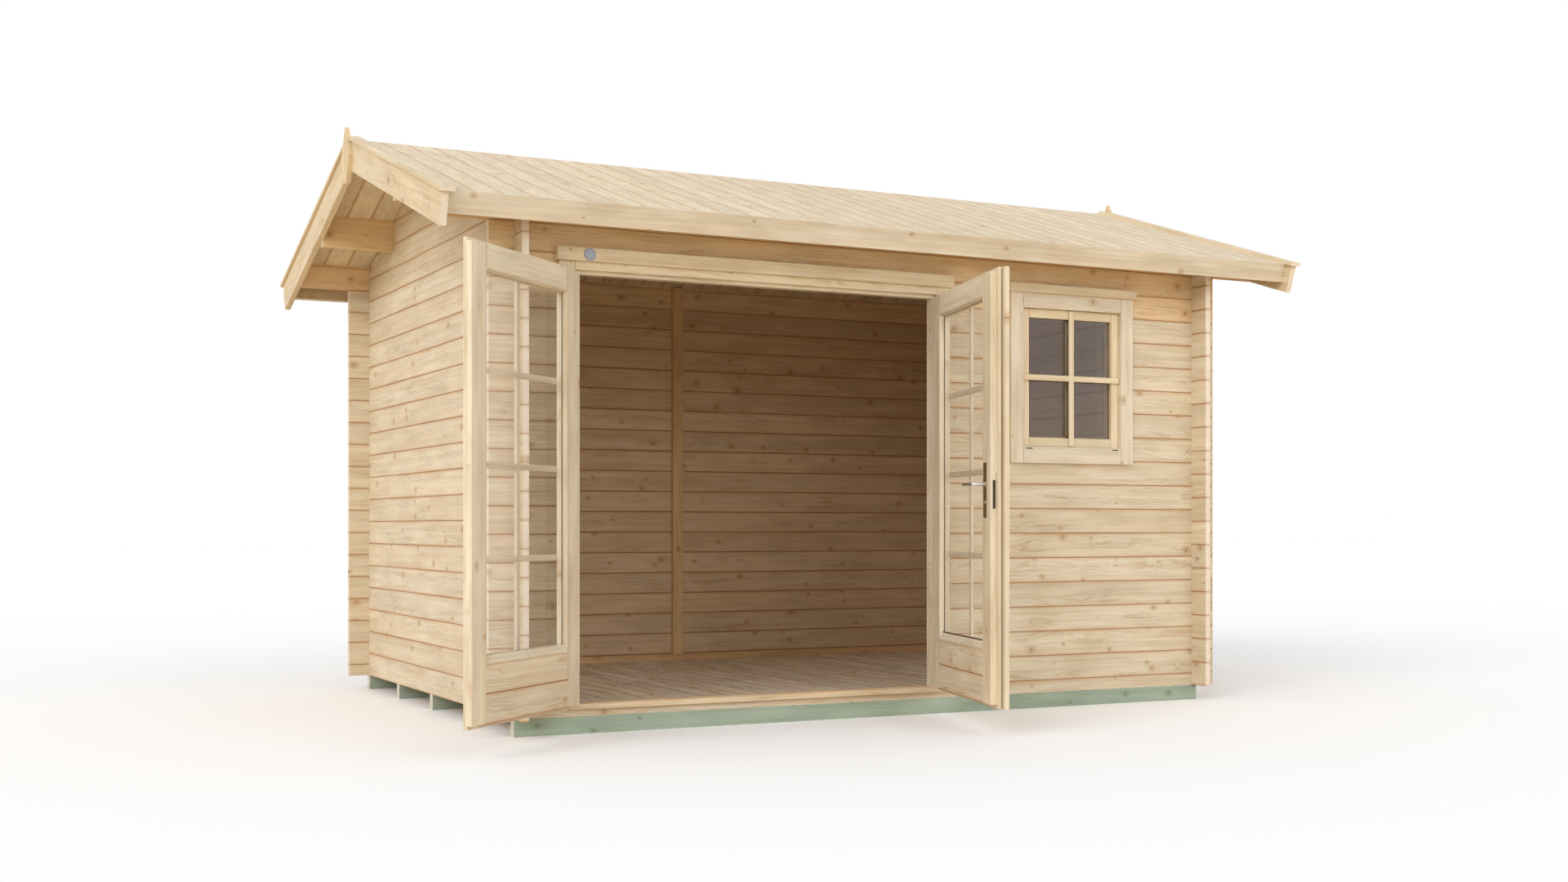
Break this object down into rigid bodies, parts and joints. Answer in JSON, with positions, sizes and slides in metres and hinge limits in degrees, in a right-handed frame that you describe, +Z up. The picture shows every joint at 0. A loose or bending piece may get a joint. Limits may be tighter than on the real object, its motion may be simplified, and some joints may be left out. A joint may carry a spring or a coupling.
{
  "type": "garden log cabin",
  "caption": "Small garden house of interlocking logs with a pitched board roof, an open glazed double door and a window.",
  "frame": {"origin": "ground level under the middle of the log walls' footprint, on the underside of the middle foundation beam", "axes": "+X to the right along the door side, +Y from the door side to the back, +Z up; the doors open towards -Y"},
  "size_m": [4.194, 3.5523, 2.5957],
  "materials": {
    "treated_beams": "sawn, pressure treated",
    "floor_wood": "planed",
    "trim_wood": "planed",
    "side_logs": "planed",
    "cross_logs": "planed",
    "roof_timber": "planed",
    "roof_boards": "planed",
    "joinery_wood": "sanded",
    "glass": "clear",
    "hinge_steel": "galvanised",
    "lock_metal": "brushed",
    "plate_metal": "brushed"
  },
  "bodies": {
    "house": {"foundation_beams": "treated_beams", "floor_boards": "floor_wood", "skirting": "trim_wood", "left_wall": "side_logs", "right_wall": "side_logs", "back_wall": "cross_logs", "front_wall_left": "cross_logs", "front_wall_right": "cross_logs", "front_wall_top": "cross_logs", "sill_log": "cross_logs", "eaves_logs": "cross_logs", "purlins": "roof_timber", "roof_front": "roof_boards", "roof_back": "roof_boards", "barge_boards_left": "roof_timber", "barge_boards_right": "roof_timber", "cap_strips": "roof_timber", "apex_boards": "roof_timber", "fascia_front": "roof_timber", "fascia_back": "roof_timber", "wall_batten": "trim_wood", "door_frame": "trim_wood", "threshold": "trim_wood", "door_casings": "trim_wood", "drip_boards": "trim_wood", "round_plate": "plate_metal", "window_frame": "trim_wood", "window_sash": "joinery_wood", "window_glass": "glass", "window_casings": "trim_wood", "hinge_pins": "hinge_steel"},
    "left_door": {"left_leaf_frame": "joinery_wood", "left_leaf_panel": "joinery_wood", "left_leaf_glass": "glass", "left_hinges": "hinge_steel"},
    "right_door": {"right_leaf_frame": "joinery_wood", "right_leaf_panel": "joinery_wood", "right_leaf_glass": "glass", "astragal": "joinery_wood", "right_hinges": "hinge_steel", "lock_plates": "lock_metal"},
    "door_handle": {"lever_handle": "lock_metal"}
  },
  "joints": [
    {"name": "left_door_swing", "type": "hinge", "parent": "house", "child": "left_door", "pos_m": [-1.477, -1.208, 0.97], "axis": [0, 0, -1], "range_deg": [-137.5, 17.5]},
    {"name": "right_door_swing", "type": "hinge", "parent": "house", "child": "right_door", "pos_m": [0.252, -1.208, 0.97], "axis": [0, 0, 1], "range_deg": [-74, 91]},
    {"name": "handle_turn", "type": "hinge", "parent": "right_door", "child": "door_handle", "pos_m": [0.00265, -1.96874, 0.997], "axis": [-0.9613, 0.2756, 0], "range_deg": [0, 40], "stiffness_Nm_per_rad": 1.5, "springref_deg": -17.19}
  ]
}
